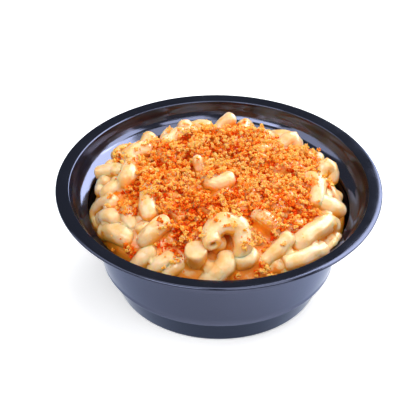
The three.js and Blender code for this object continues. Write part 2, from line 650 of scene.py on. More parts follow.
@dataclass(frozen=True)
class Mound:
    """The smooth surface that the tops of the food come up to."""

    crest: float = 79.5
    fall: float = 24.0
    reach: float = 73.0
    power: float = 4.0
    dips: tuple[Dip, ...] = (
        Dip(72.0, 4.0, 11.0, 12.0),
        Dip(66.0, 30.0, 10.0, 5.0),
        Dip(-72.0, 6.0, 10.0, 8.0),
        Dip(-70.0, -16.0, 7.0, 6.0),
        Dip(0.0, 74.0, 14.0, 5.0),
    )

    def height(self, x: Numbers, y: Numbers) -> Numbers:
        """Height above the table at a place on the plan."""
        dome = self.crest - self.fall * (np.hypot(x, y) / self.reach) ** self.power
        return dome - sum(dip.at(x, y) for dip in self.dips)


class End(Enum):
    """How the end of a piece looks."""

    OPEN = "open"
    FLAT = "flat"
    DOMED = "domed"


@dataclass(frozen=True)
class Corkscrew:
    """A piece of corkscrew macaroni: a ridged tube wound round an axis of its own.

    lift is the height of its middle over the mound, heading and climb are where its axis points
    (0 is to the right, 90 to the back), and roll turns it round that axis.
    """

    x: float
    y: float
    lift: float
    heading: float
    climb: float
    roll: float
    bend: float
    sweep: float
    advance: float
    tube: float
    ends: tuple[End, End]
    stay: float = 1.0
    swell: float = 0.0

    def place(self, mound: Mound) -> Matrix:
        """The matrix that puts the piece on the mound."""
        height = mound.height(self.x, self.y) + self.lift
        return (Matrix.Translation((self.x, self.y, height))
                @ Matrix.Rotation(math.radians(self.heading), 4, "Z")
                @ Matrix.Rotation(math.radians(-self.climb), 4, "Y")
                @ Matrix.Rotation(math.radians(self.roll), 4, "X"))

    def middle(self) -> float:
        """How far the middle of the arc lies from its own axis."""
        half = math.radians(self.sweep) / 2
        return self.bend * math.sin(half) / half

    def centre_line(self, mound: Mound, count: int) -> np.ndarray:
        """Finds points along the tube's middle.

        Args:
            mound: What the piece lies on.
            count: How many points.

        Returns:
            One row for each point.
        """
        share = np.linspace(-0.5, 0.5, count)
        angle = share * math.radians(self.sweep)
        local = np.stack([self.advance * share, self.bend * np.sin(angle),
                          self.bend * np.cos(angle) - self.middle()], axis=1)
        matrix = np.array(self.place(mound))
        return local @ matrix[:3, :3].T + matrix[:3, 3]


@dataclass(frozen=True)
class Laid:
    """A piece laid along a given route.

    route is points along its middle, as x, y and height over the mound. stay is the share of the
    crumbs that stay on it, swell is how much thicker it is halfway, and steps is how finely the
    curve is drawn between two points.
    """

    route: tuple[Point, ...]
    tube: float
    ends: tuple[End, End] = (End.DOMED, End.DOMED)
    stay: float = 0.05
    swell: float = 0.0
    steps: int = 12

    def centre_line(self, mound: Mound, count: int) -> np.ndarray:
        """Finds points along the tube's middle, on a smooth curve through the route.

        Args:
            mound: What the piece lies on.
            count: How many points.

        Returns:
            One row for each point.
        """
        route = np.array([(x, y, mound.height(x, y) + lift) for x, y, lift in self.route])
        route = np.vstack([2 * route[0] - route[1], route, 2 * route[-1] - route[-2]])
        share = np.linspace(0, 1, self.steps, endpoint=False)[:, None]
        curve = []
        for before, here, ahead, beyond in zip(route, route[1:], route[2:], route[3:]):
            curve.append(here + 0.5 * share * (ahead - before + share * (
                2 * before - 5 * here + 4 * ahead - beyond
                + share * (3 * here - before - 3 * ahead + beyond))))
        curve = np.vstack([*curve, route[-2:-1]])
        lengths = np.linalg.norm(np.diff(curve, axis=0), axis=1)
        travel = np.concatenate([[0.0], np.cumsum(lengths)])
        stops = np.linspace(0, travel[-1], count)
        return np.stack([np.interp(stops, travel, curve[:, axis]) for axis in range(3)], axis=1)


def by_hand() -> list[Laid]:
    """Lays the pieces that stand out.

    Returns:
        The pieces, round the heap from the front and at last those among the crumbs.
    """
    domed, flat, opened = End.DOMED, End.FLAT, End.OPEN
    return [
        # The arch at the front, the stub beside it and the fat curve below it.
        Laid(((-2.6, -62.6, 4.4), (-3.8, -58.8, 2.2), (-3.4, -55, 1.3), (-0.5, -52, 1.4),
              (4.5, -50.3, 1.2), (10, -50.3, -0.5), (12.5, -53.2, -2.6), (13, -57, -4),
              (12, -60, -5.5)), 4.8, (opened, domed), stay=0.08, swell=1.2),
        Laid(((-11.2, -63.4, 2.4), (-11.1, -62.4, -2), (-11, -61, -8.5)), 6.0, (flat, domed)),
        Laid(((4.4, -60.5, -9), (4.6, -64, -6), (2, -66.8, -5.4), (-2, -69, -6.8),
              (-5.5, -69.5, -10)), 5.6, swell=0.4),
        Laid(((17.5, -58, -8), (15.5, -61.5, -6), (11.5, -61.5, -7.5)), 5.0),
        Laid(((27.5, -57, -10.5), (31, -58.5, -9.5), (34.5, -58.5, -10.5)), 4.2, stay=0.3),
        # Front left.
        Laid(((-27.5, -42, -5.6), (-32, -45, -4.1), (-35.5, -47.5, -4.1), (-38.5, -48.5, -6.6)),
             5.2, (flat, domed), stay=0.25),
        Laid(((-35.5, -53, -8), (-38.5, -55, -7), (-42, -56, -8.7)), 4.8),
        Laid(((-25, -57.5, -9.8), (-29, -59.5, -8.6), (-33.5, -60, -10)), 4.7, stay=0.2),
        Laid(((-18, -60, -10), (-22, -62, -9.2), (-26, -63, -10.5)), 4.5, stay=0.4),
        # Left.
        Laid(((-62.5, -24, -6), (-59, -26.5, -4.6), (-55, -29.5, -5.6)), 4.9),
        Laid(((-60.5, -29.5, -9.5), (-56.5, -34, -8.2), (-52, -38, -8.4), (-47.5, -41.5, -10.5)),
             5.7),
        Laid(((-57.5, -17, -5.8), (-62, -13.5, -5.4), (-66, -11, -7), (-66.5, -13, -9.5),
              (-65, -17.5, -12)), 4.6),
        Laid(((-55.5, -2.5, -7), (-58, -7.5, -5), (-61, -8.5, -6.2)), 4.8, stay=0.15),
        Laid(((-66.5, 9, 6.5), (-63, 8, 2.5), (-58, 6.5, -2), (-53.5, 4.5, -4.5)), 4.3,
             (flat, domed)),
        Laid(((-49, 12, -7), (-49, 2, -4.6), (-50, -3.5, -4.6), (-53, -3.5, -7)), 4.9, stay=0.12),
        Laid(((-62, 4, -2), (-64.5, 3, -2), (-64.5, 0, -4)), 4.3),
        Laid(((-36, -13, -6.5), (-38, -22, -4.6), (-38, -29.5, -4.6), (-36.5, -33.5, -7)), 4.7,
             stay=0.75),
        Laid(((-50, -25, -9.5), (-47.5, -31, -9.5), (-45.5, -34.5, -11.5)), 4.8, stay=0.5),
        # Back.
        Laid(((-50.5, 14, -8), (-49.5, 19, -5), (-46, 23, -4.5), (-41, 25, -6.5)), 4.7, stay=0.2),
        Laid(((-30, 32, -8), (-25.5, 37, -6.5), (-20.5, 40, -6.5), (-15.5, 41, -8)), 4.6,
             stay=0.3),
        Laid(((-1.5, 44, -9.5), (1.5, 47, -5), (5.5, 48.5, -0.5)), 4.4),
        Laid(((33.5, 35, -12.5), (37, 38, -7.5), (41, 40, -3), (42.5, 39, -6.5)), 4.5),
        # Right.
        Laid(((53.5, 14, -14), (57, 18, -8), (60.5, 20, -1), (63, 19, -2.5), (62.5, 17, -7)), 4.7,
             stay=0.2),
        Laid(((50, 1, -6.5), (53.5, -4, -4.4), (54, -11.5, -4.5), (52.5, -16.5, -7)), 4.9,
             stay=0.12),
        Laid(((53.5, -13, -8), (57.5, -16.5, -5.5), (62, -16, -4.2), (65, -14, -4.8)), 5.1),
        Laid(((42, -46, -8), (45.5, -43.5, -6), (51.5, -37, -5), (58, -29, -5),
              (61.5, -25.5, -7.5)), 5.5, stay=0.2),
        Laid(((55.5, -42.5, -6.5), (49, -49, -5.4), (42, -54.5, -5.4), (35.5, -58, -6.5)), 4.7,
             (flat, flat), stay=0.3),
        Laid(((36.5, -47.5, -5.2), (33.5, -51.5, -5.8), (29.5, -55, -7.5), (25.5, -57.5, -10)),
             4.6),
        Laid(((62.5, -30.5, -9), (61, -35, -8.8), (57.5, -39.5, -10.5)), 4.4),
        # Among the crumbs.
        Laid(((21.5, -35.5, -7.5), (24, -39, -5.8), (27.5, -42, -5.4), (30.5, -41.5, -8)), 4.8,
             stay=0.75),
        Laid(((-5.5, -9, -6.2), (-4.5, -13, -5.4), (-1, -15, -5), (2.6, -13.6, -4.4),
              (4.8, -11.4, -4.6)), 5.0),
        Laid(((-10.6, 0.8, -6), (-11.6, 1.7, -3.5), (-12, 2, -2)), 3.0, stay=0.1),
    ]


@dataclass
class PastaCutter:
    """Makes the meshes of the pasta pieces.

    shapes gives each kind of end as rings, by their share of the tube's radius and the step out
    to them in mm.
    """

    ridges: int = 16
    ridge_depth: float = 0.12
    step_length: float = 1.6
    fewest_steps: int = 5
    measured_points: int = 40
    wobble: float = 0.75
    wobble_size: float = 7.0
    apart: Point = (37.1, 11.3, 5.7)
    shapes: dict[End, tuple[Range, ...]] = field(default_factory=lambda: {
        End.OPEN: ((0.95, 0.4), (0.8, 0.35), (0.54, 0.05), (0.38, -0.5), (0.32, -2.4),
                   (0.3, -4.0)),
        End.FLAT: ((0.96, 0.6), (0.86, 0.55), (0.66, 0.35), (0.40, 0.05), (0.18, -0.05)),
        End.DOMED: ((0.96, 0.9), (0.86, 0.9), (0.70, 0.75), (0.46, 0.55), (0.22, 0.2)),
    })

    @staticmethod
    def extrude(bm: BMesh, ring: list[bmesh.types.BMEdge]) -> tuple[list, list]:
        """Extrudes a ring of edges in place.

        Args:
            bm: The piece.
            ring: The edges.

        Returns:
            The new ring's edges and its vertices.
        """
        made = bmesh.ops.extrude_edge_only(bm, edges=ring)["geom"]
        return ([item for item in made if isinstance(item, bmesh.types.BMEdge)],
                [item for item in made if isinstance(item, bmesh.types.BMVert)])

    def close(self, bm: BMesh, ring: list[bmesh.types.BMEdge], out: Vector, end: End) -> None:
        """Closes an end, with its bore sunk where it is open.

        Args:
            bm: The piece.
            ring: The edges round the end.
            out: The direction out of the end.
            end: How it looks.
        """
        before = 1.0
        for share, step in self.shapes[end]:
            ring, verts = self.extrude(bm, ring)
            centre = sum((vert.co for vert in verts), Vector()) / len(verts)
            bmesh.ops.scale(bm, vec=(share / before,) * 3, space=Matrix.Translation(-centre),
                            verts=verts)
            bmesh.ops.translate(bm, vec=out * step, verts=verts)
            before = share
        bmesh.ops.edgeloop_fill(bm, edges=ring)

    @staticmethod
    def girth(piece: Laid | Corkscrew, share: float) -> float:
        """A piece's radius at a share of its length."""
        return piece.tube + piece.swell * math.sin(math.pi * share)

    def cut(self, piece: Laid | Corkscrew, mound: Mound, seed: float) -> BMesh:
        """Makes one piece.

        Args:
            piece: Its shape and place.
            mound: What it lies on.
            seed: What sets its wobble apart from the others'.

        Returns:
            The piece's mesh, in mm.
        """
        rough = piece.centre_line(mound, self.measured_points)
        length = np.linalg.norm(np.diff(rough, axis=0), axis=1).sum()
        count = max(self.fewest_steps, round(length / self.step_length))
        line = [Vector(point) for point in piece.centre_line(mound, count)]
        along = [(b - a).normalized() for a, b in zip(line, line[1:])]
        along = [along[0], *((a + b).normalized() for a, b in zip(along, along[1:])), along[-1]]
        girths = [self.girth(piece, index / (count - 1)) for index in range(count)]
        bm = bmesh.new()
        circle = bmesh.ops.create_circle(bm, segments=2 * self.ridges, radius=piece.tube)["verts"]
        for vert in circle[::2]:
            vert.co *= 1 - self.ridge_depth / piece.tube
        upright = along[0].to_track_quat("Z", "Y").to_matrix().to_4x4()
        bmesh.ops.transform(bm, matrix=Matrix.Translation(line[0]) @ upright, verts=bm.verts)
        ring = first = list(bm.edges)
        for index in range(1, count):
            turn = along[index - 1].rotation_difference(along[index]).to_matrix().to_4x4()
            move = (Matrix.Translation(line[index]) @ turn
                    @ Matrix.Translation(-line[index - 1]))
            ring, verts = self.extrude(bm, ring)
            bmesh.ops.transform(bm, matrix=move, verts=verts)
            thicker = girths[index] / girths[index - 1]
            bmesh.ops.scale(bm, vec=(thicker,) * 3, space=Matrix.Translation(-line[index]),
                            verts=verts)
        self.close(bm, first, -along[0], piece.ends[0])
        self.close(bm, ring, along[-1], piece.ends[1])
        bmesh.ops.recalc_face_normals(bm, faces=bm.faces)
        offset = Vector([seed * part for part in self.apart])
        for vert in bm.verts:
            vert.co += noise.noise_vector(vert.co / self.wobble_size + offset) * self.wobble
        return bm


@dataclass(frozen=True)
class Filling:
    """One round of filling up the heap: how deep its pieces lie and how often one is tried.

    squeeze is how near the middles of two pieces may come, over their own thickness.
    """

    depth: Range
    squeeze: float
    tries: int


@dataclass
class PastaHeap:
    """The pieces on top of the heap: those listed one by one, and others that fill in round them.
    """

    mound: Mound
    bowl: Bowl
    crumbs: "CrumbLayer"
    pieces: list[Laid | Corkscrew] = field(default_factory=by_hand)
    fillings: tuple[Filling, ...] = (
        Filling((0.0, 1.5), 0.82, 6000),
        Filling((2.0, 4.5), 0.74, 4500),
        Filling((5.0, 9.0), 0.68, 4500),
    )
    climb_spread: float = 18.0
    bends: Range = (6.5, 11.0)
    sweeps: Range = (110.0, 250.0)
    advances: Range = (2.0, 9.0)
    tubes: Range = (4.45, 4.85)
    open_share: float = 0.25
    cover: float = 3.0
    spread: float = 68.0
    reach: float = 70.5
    wall_gap: float = 0.5
    final_gap: float = 0.2
    proud: float = 1.0
    balls: int = 13
    near: float = 32.0
    seed: int = 7

    def top(self, balls: np.ndarray) -> np.ndarray:
        """How high the pasta may come at each point, under the crumbs that cover it."""
        x, y = balls[:, 0], balls[:, 1]
        return self.mound.height(x, y) - self.cover * self.crumbs.density(x, y)

    def fits(self, balls: np.ndarray, tube: float, others: np.ndarray, squeeze: float) -> bool:
        """Whether a piece lies inside the bowl, under the mound's top and clear of the others.

        Args:
            balls: Points along the middle of the piece.
            tube: Its radius.
            others: Points along the middles of the pieces already there.
            squeeze: How near two pieces may come, over their own thickness.

        Returns:
            True if there is room for it.
        """
        out = np.hypot(balls[:, 0], balls[:, 1]) + tube
        wall = self.bowl.inner_radius(balls[:, 2]) - self.wall_gap
        if (out > np.minimum(self.reach, wall)).any():
            return False
        if (balls[:, 2] + tube > self.top(balls) + self.proud).any():
            return False
        near = others[np.abs(others - balls.mean(axis=0)).max(axis=1) < self.near]
        gaps = ((balls[:, None] - near[None]) ** 2).sum(axis=2)
        return gaps.size == 0 or gaps.min() > (2 * tube * squeeze) ** 2

    def by_chance(self, random: np.random.Generator) -> Corkscrew:
        """Draws a piece that lies somewhere on the mound.

        Args:
            random: The source of chance.

        Returns:
            The piece, with its middle on the mound.
        """
        radius = self.spread * math.sqrt(random.random())
        bearing = random.uniform(0, 2 * math.pi)
        return Corkscrew(
            radius * math.cos(bearing), radius * math.sin(bearing), 0.0, random.uniform(0, 360),
            random.normal(0, self.climb_spread), random.uniform(0, 360),
            random.uniform(*self.bends), random.uniform(*self.sweeps),
            random.uniform(*self.advances), random.uniform(*self.tubes),
            (End.OPEN, End.DOMED) if random.random() < self.open_share
            else (End.DOMED, End.FLAT))

    def fill(self) -> None:
        """Adds pieces wherever there is room, in layers from the top down."""
        random = np.random.default_rng(self.seed)
        others = np.concatenate([p.centre_line(self.mound, self.balls) for p in self.pieces])
        for filling in self.fillings:
            for _ in range(filling.tries):
                piece = self.by_chance(random)
                balls = piece.centre_line(self.mound, self.balls)
                top = (balls[:, 2] + piece.tube - self.top(balls)).max()
                lift = -top - random.uniform(*filling.depth)
                balls[:, 2] += lift
                if self.fits(balls, piece.tube, others, filling.squeeze):
                    self.pieces.append(replace(piece, lift=lift))
                    others = np.concatenate([others, balls])
            log.info("pieces of pasta so far: %d", len(self.pieces))

    def build(self, finish: bpy.types.Material) -> list[Piece]:
        """Makes the pieces, joined into those that stay bare and those that crumbs lie on.

        Args:
            finish: The pasta's finish.

        Returns:
            The joined pieces.
        """
        cutter = PastaCutter()
        made = []
        for name, bare in (("corkscrews_bare", True), ("corkscrews_crumbed", False)):
            joined = bmesh.new()
            for index, piece in enumerate(self.pieces):
                if (piece.stay < 1) != bare:
                    continue
                bm = cutter.cut(piece, self.mound, index)
                self.bowl.keep_inside(bm, self.final_gap)
                part = bpy.data.meshes.new("piece")
                bm.to_mesh(part)
                bm.free()
                joined.from_mesh(part)
                bpy.data.meshes.remove(part)
            made.append(finished(joined, name, finish))
        return made


@dataclass
class Sauce:
    """The cheese sauce: a core under the pieces, drawn up round each of them where they touch.

    Everything is made too thick by web and drawn back once it is one body.
    """

    heap: PastaHeap
    depth: float = 10.0
    lowest: float = 46.0
    lumps: float = 1.6
    lump_size: float = 9.0
    pools: tuple[Dip, ...] = (
        Dip(-50.0, -42.0, 11.0, -4.0),
        Dip(-33.0, -57.0, 9.0, -3.5),
        Dip(-15.0, -64.0, 9.0, -5.0),
        Dip(9.0, -64.0, 8.0, -4.0),
        Dip(24.0, -60.0, 8.0, -4.5),
        Dip(40.0, -52.0, 9.0, -3.0),
        Dip(57.0, -36.0, 8.0, -3.0),
    )
    edge: float = 70.5
    flat_top: float = 60.0
    side_heights: tuple[float, ...] = (44.0, 30.0, 19.0, 15.0, 6.0)
    side_gap: float = 0.3
    foot_inset: float = 4.0
    wall_gap: float = 0.5
    coat: float = -0.25
    web: float = 1.3
    coat_swing: float = 1.0
    coat_size: float = 8.0
    coat_length: float = 0.93
    coat_rings: int = 14
    taper: float = 1.2
    taper_share: float = 0.125
    ring: int = 12
    voxel: float = 1.0
    smoothing: int = 5
    segments: int = 144
    rings: int = 26

    def core(self) -> BMesh:
        """Makes the body of sauce that fills the bowl below the pieces.

        Returns:
            Its mesh, in mm.
        """
        bowl, mound = self.heap.bowl, self.heap.mound
        floor = bowl.foot_recess + bowl.wall + self.side_gap
        top = [Corner(self.edge * step / self.rings, self.flat_top)
               for step in range(self.rings + 1)]
        side = [Corner(float(bowl.inner_radius(height)) - self.side_gap, height)
                for height in self.side_heights]
        foot = [Corner(bowl.foot_radius - self.foot_inset, floor), Corner(0, floor)]
        bm = turned([*top, *side, *foot], self.segments)
        for vert in bm.verts:
            x, y, z = vert.co
            if z > self.side_heights[0]:
                lump = noise.noise(vert.co / self.lump_size) * self.lumps
                rise = -sum(pool.at(x, y) for pool in self.pools)
                level = mound.height(x, y) - self.depth + lump + rise
                vert.co.z = max(self.lowest, level) + self.web
        return bm

    def add_coats(self, bm: BMesh) -> None:
        """Adds a plain tube inside each piece of pasta, from which the sauce's fillets grow.

        Args:
            bm: The sauce.
        """
        shares = np.linspace(0, 1, self.coat_rings)
        for piece in self.heap.pieces:
            line = piece.centre_line(self.heap.mound, self.coat_rings)
            middle = line.mean(axis=0)
            line = middle + (line - middle) * self.coat_length
            rings = []
            for share, here, ahead in zip(shares, line, np.gradient(line, axis=0)):
                turn = Vector(ahead).to_track_quat("Z", "Y").to_matrix().to_4x4()
                thick = noise.noise(Vector(here) / self.coat_size) * self.coat_swing
                thick += self.coat + self.web
                thick -= self.taper * max(0.0, 1 - min(share, 1 - share) / self.taper_share)
                ring = bmesh.ops.create_circle(
                    bm, segments=self.ring, radius=PastaCutter.girth(piece, share) + thick,
                    matrix=Matrix.Translation(here) @ turn)["verts"]
                rings.append({edge for vert in ring for edge in vert.link_edges})
            for one, other in zip(rings, rings[1:]):
                bmesh.ops.bridge_loops(bm, edges=[*one, *other])
            for ring in (rings[0], rings[-1]):
                bmesh.ops.edgeloop_fill(bm, edges=list(ring))

    def build(self, finish: bpy.types.Material) -> Piece:
        """Joins the core and the coats into one smooth body.

        Args:
            finish: The sauce's finish.

        Returns:
            The sauce.
        """
        bm = self.core()
        self.add_coats(bm)
        self.heap.bowl.keep_inside(bm, self.wall_gap - self.web)
        bmesh.ops.recalc_face_normals(bm, faces=bm.faces)
        rough = finished(bm, "sauce_rough", finish)
        merge = rough.modifiers.new("merge", "REMESH")
        merge.mode = "VOXEL"
        merge.voxel_size = self.voxel * MM
        draw_back = rough.modifiers.new("draw_back", "DISPLACE")
        draw_back.strength = -self.web * MM
        draw_back.mid_level = 0.0
        soften = rough.modifiers.new("soften", "SMOOTH")
        soften.factor = 0.5
        soften.iterations = self.smoothing
        graph = bpy.context.evaluated_depsgraph_get()
        mesh = bpy.data.meshes.new_from_object(rough.evaluated_get(graph))
        mesh.name = "cheese_sauce"
        mesh.polygons.foreach_set("use_smooth", [True] * len(mesh.polygons))
        bpy.data.objects.remove(rough)
        return placed("cheese_sauce", mesh)


# The crumbs


@dataclass(frozen=True)
class Patch:
    """An oval of crumbs on the plan. weight is how thick they lie, and a negative one clears."""

    x: float
    y: float
    width: float
    depth: float
    weight: float
    soft: float = 0.5
    turn: float = 0.0

    def at(self, x: Numbers, y: Numbers) -> Numbers:
        """Works out how much of the patch there is at each place.

        Args:
            x: How far to the right each place is.
            y: How far back it is.

        Returns:
            Values from 0 to weight.
        """
        angle = math.radians(self.turn)
        dx, dy = x - self.x, y - self.y
        along = (dx * math.cos(angle) + dy * math.sin(angle)) / self.width
        across = (dy * math.cos(angle) - dx * math.sin(angle)) / self.depth
        edge = np.clip((1 - np.hypot(along, across)) / self.soft + 0.5, 0, 1)
        return self.weight * edge * edge * (3 - 2 * edge)


class Toast(Enum):
    """The kinds of crumb, which are also the names of their pieces."""

    DEEP = "crumbs_deep"
    AMBER = "crumbs_amber"
    GOLDEN = "crumbs_golden"
    PALE = "crumbs_pale"
    FINE = "crumbs_fine"


@dataclass(frozen=True)
class CrumbKind:
    """One kind of crumb: its lumps and their radii, and their grains' number, radii and tones.

    stray is the share of its lumps that lands outside the patches.
    """

    toast: Toast
    lumps: int
    size: Range
    grains: tuple[int, int]
    radius: Range
    tone: Range
    stray: float = 0.0


@dataclass(frozen=True)
class Lump:
    """A lump of crumb that is put in a given place."""

    toast: Toast
    x: float
    y: float
    size: float


DEEP, AMBER, GOLDEN, PALE = Toast.DEEP, Toast.AMBER, Toast.GOLDEN, Toast.PALE


@dataclass
class CrumbLayer:
    """Toasted crumbs that were dropped on the heap and lie where they landed.

    Heights are kept on a square grid of cells over the plan. Tones run from 0, pale, to 1, deep.
    """

    mound: Mound
    patches: tuple[Patch, ...] = (
        Patch(2, 3, 54, 45, 1.0, 0.25),
        Patch(46, 20, 13, 13, 1.0, 0.4),
        Patch(44, -22, 12, 13, 1.0),
        Patch(-14, -42, 14, 20, 1.0),
        Patch(-22, -52, 12, 8, 0.9),
        Patch(30, -45, 9, 9, 0.8),
        Patch(41, -35, 7, 7, 1.0),
        Patch(4, -54, 4, 4, 0.45),
        Patch(-47, 20, 11, 10, 0.8),
        Patch(22, -64, 8, 4, 0.8),
        Patch(18, -56, 6, 7, 0.7),
        Patch(12, -69, 5, 2.5, 0.6),
        Patch(-22, -62, 9, 4, 0.7),
        Patch(-50, -49, 9, 5, 1.0, turn=-35),
        Patch(-51, -25, 8, 8, 0.75),
        Patch(-57, -43, 5, 4, 0.7),
        Patch(68, 2, 5, 12, 0.12),
    )
    cleared: Patch = Patch(1, -19, 7, 3, -0.85)
    kinds: tuple[CrumbKind, ...] = (
        CrumbKind(Toast.DEEP, 600, (0.8, 1.5), (10, 18), (0.26, 0.56), (0.55, 0.95)),
        CrumbKind(Toast.AMBER, 640, (0.8, 1.6), (10, 18), (0.26, 0.6), (0.35, 0.75)),
        CrumbKind(Toast.GOLDEN, 640, (0.9, 1.7), (10, 18), (0.26, 0.6), (0.22, 0.58)),
        CrumbKind(Toast.PALE, 320, (0.9, 1.9), (10, 18), (0.28, 0.65), (0.04, 0.34)),
        CrumbKind(Toast.FINE, 4600, (0.3, 0.5), (1, 3), (0.26, 0.52), (0.12, 0.7), 0.06),
    )
    chosen: tuple[Lump, ...] = (
        Lump(GOLDEN, 18.0, -60.5, 2.6), Lump(PALE, -26.5, -49.0, 2.6),
        Lump(AMBER, 36.5, -41.5, 2.5), Lump(GOLDEN, 9.0, -47.5, 1.6),
        Lump(GOLDEN, 11.0, -49.0, 1.5), Lump(GOLDEN, 7.5, -46.5, 1.3),
        Lump(GOLDEN, 22.0, -53.0, 2.0), Lump(GOLDEN, 19.5, -55.5, 1.8),
        Lump(PALE, 24.0, -51.0, 1.7), Lump(GOLDEN, -7.0, -12.0, 2.2),
        Lump(PALE, -4.5, -13.5, 1.8), Lump(GOLDEN, -2.5, -12.0, 2.2),
        Lump(GOLDEN, 0.5, -10.5, 2.2), Lump(GOLDEN, -5.0, -9.5, 2.3),
        Lump(GOLDEN, -1.0, -8.5, 2.2), Lump(GOLDEN, -7.0, -8.5, 2.3),
        Lump(GOLDEN, 1.6, -8.2, 2.3), Lump(GOLDEN, -9.0, -11.5, 2.0),
        Lump(GOLDEN, -4.0, -6.2, 2.2), Lump(PALE, 2.0, -9.5, 1.8),
        Lump(GOLDEN, -5.5, -15.0, 1.8), Lump(AMBER, -59.0, -18.0, 1.8),
        Lump(AMBER, -52.0, -26.0, 2.2), Lump(GOLDEN, -48.5, -24.0, 2.2),
        Lump(AMBER, -50.0, -28.5, 2.0), Lump(DEEP, -50.0, -31.5, 1.8),
        Lump(GOLDEN, -54.5, -27.5, 1.6), Lump(AMBER, 21.5, -36.0, 2.4),
        Lump(GOLDEN, 24.0, -37.0, 2.2),
    )
    browned: tuple[Patch, ...] = (
        Patch(-20, -42, 15, 14, 0.28, 0.8),
        Patch(2, -36, 44, 14, 0.08, 0.8),
        Patch(40, -24, 12, 9, 0.12, 0.8),
        Patch(-38, -6, 18, 22, 0.1, 0.9),
        Patch(6, 34, 42, 13, -0.08, 0.8),
        Patch(-50, -49, 12, 9, 0.4, 0.8),
        Patch(-2, -12, 8, 7, -0.25, 0.6),
    )
    cell: float = 0.5
    half: float = 78.0
    measured: float = 76.0
    above: float = 200.0
    floor: float = 20.0
    spread: float = 72.0
    edge: float = 71.0
    wall_gap: float = 0.3
    seed: int = 3
    clouds: float = 7.0
    cloud_level: float = 3.7
    cloud_chance: Range = (0.775, 0.405)
    line_points: int = 24
    top_depth: float = 0.8
    rolls: int = 2
    roll_turns: Point = (0.0, 2.1, 4.2)
    least_fall: float = 0.1
    sink: float = 0.45
    core: float = 0.5
    grain_spread: Range = (0.55, 1.0)
    most_under: float = 0.3
    jitter: float = 0.5
    stretch: Range = (0.55, 1.45)
    tone_jitter: float = 0.1
    # Painted light: grains high in a lump get a paler tone.
    painted_light_by_height: float = 0.22
    # Painted shade: grains lying low among the others get a deeper tone.
    painted_shade_by_depth: float = 0.32
    painted_shade_depths: Range = (-1.0, 3.0)
    painted_shade_reach: float = 3.0
    tone_clouds: float = 0.3
    tone_cloud_size: float = 12.0

    def density(self, x: Numbers, y: Numbers) -> Numbers:
        """How thick the crumbs lie at each place on the plan, from 0 to 1."""
        thickest = np.max([patch.at(x, y) for patch in self.patches], axis=0)
        return thickest * (1 + self.cleared.at(x, y))

    def cells(self, count: int) -> np.ndarray:
        """The middles of a row of the grid's cells."""
        return (np.arange(count) + 0.5) * self.cell - self.half

    def cell_at(self, place: Numbers) -> np.ndarray:
        """The number of the cell, along one side of the grid, that a place falls in."""
        return np.asarray((place + self.half) / self.cell).astype(int)

    def landscape(self, pieces: list[Piece]) -> np.ndarray:
        """Measures the height of what the crumbs fall on.

        Args:
            pieces: What they fall on.

        Returns:
            Heights by column and row.
        """
        count = int(2 * self.half / self.cell)
        heights = np.full((count, count), -1.0)
        trees = [BVHTree.FromPolygons([v.co for v in piece.data.vertices],
                                      [p.vertices for p in piece.data.polygons])
                 for piece in pieces]
        down = Vector((0, 0, -1))
        for column, x in enumerate(self.cells(count)):
            for row, y in enumerate(self.cells(count)):
                if x * x + y * y > self.measured ** 2:
                    continue
                start = Vector((x * MM, y * MM, self.above * MM))
                hits = [tree.ray_cast(start, down)[0] for tree in trees]
                for hit in hits:
                    if hit is not None:
                        heights[column, row] = max(heights[column, row], hit.z / MM)
        return np.where(heights < 0, self.floor, heights)

    def staying(self, heights: np.ndarray, heap: PastaHeap) -> np.ndarray:
        """Works out the share of the crumbs that stay where they land.

        Args:
            heights: The height of the ground.
            heap: The pasta.

        Returns:
            The share by column and row.
        """
        places = self.cells(len(heights))
        share = np.ones(heights.shape)
        for piece in heap.pieces:
            if piece.stay == 1:
                continue
            for x, y, z in piece.centre_line(self.mound, self.line_points):
                spare = piece.tube ** 2 - (places[:, None] - x) ** 2 - (places[None] - y) ** 2
                top = z + np.sqrt(np.maximum(spare, 0))
                share[(spare > 0) & (top > heights - self.top_depth)] = piece.stay
        return share

    def ball(self, heights: np.ndarray, x: float, y: float,
             radius: float) -> tuple[np.ndarray, np.ndarray]:
        """Finds the ground below a ball, and the ball's own height over its middle.

        Args:
            heights: The ground.
            x: The ball's place.
            y: The ball's place.
            radius: Its radius.

        Returns:
            The ground's cells there, and for each the ball's height, far down outside it.
        """
        reach = int(radius / self.cell) + 1
        column, row = self.cell_at(x), self.cell_at(y)
        steps = np.arange(-reach, reach + 1) * self.cell
        spare = radius ** 2 - steps[:, None] ** 2 - steps[None] ** 2
        ground = heights[column - reach:column + reach + 1, row - reach:row + reach + 1]
        return ground, np.where(spare > 0, np.sqrt(np.maximum(spare, 0)), -self.half)

    def landing(self, heights: np.ndarray, x: float, y: float, radius: float) -> float:
        """The height at which the middle of a ball comes to rest."""
        return float(sum(self.ball(heights, x, y, radius)).max())

    def rest(self, heights: np.ndarray, place: tuple[float, float], radius: float,
             random: np.random.Generator, rolls: int) -> Point:
        """Lets a lump roll a little way down.

        Args:
            heights: What it falls on.
            place: Where it falls.
            radius: Its radius.
            random: The source of chance.
            rolls: How often it may roll on.

        Returns:
            Where its middle comes to rest.
        """
        x, y = place
        z = self.landing(heights, x, y, radius)
        for _ in range(rolls):
            angle = random.uniform(0, 2 * math.pi)
            for turn in self.roll_turns:
                nx = x + radius * math.cos(angle + turn)
                ny = y + radius * math.sin(angle + turn)
                lower = self.landing(heights, nx, ny, radius)
                if lower < z - self.least_fall:
                    x, y, z = nx, ny, lower
                    break
        return x, y, z - self.sink * radius

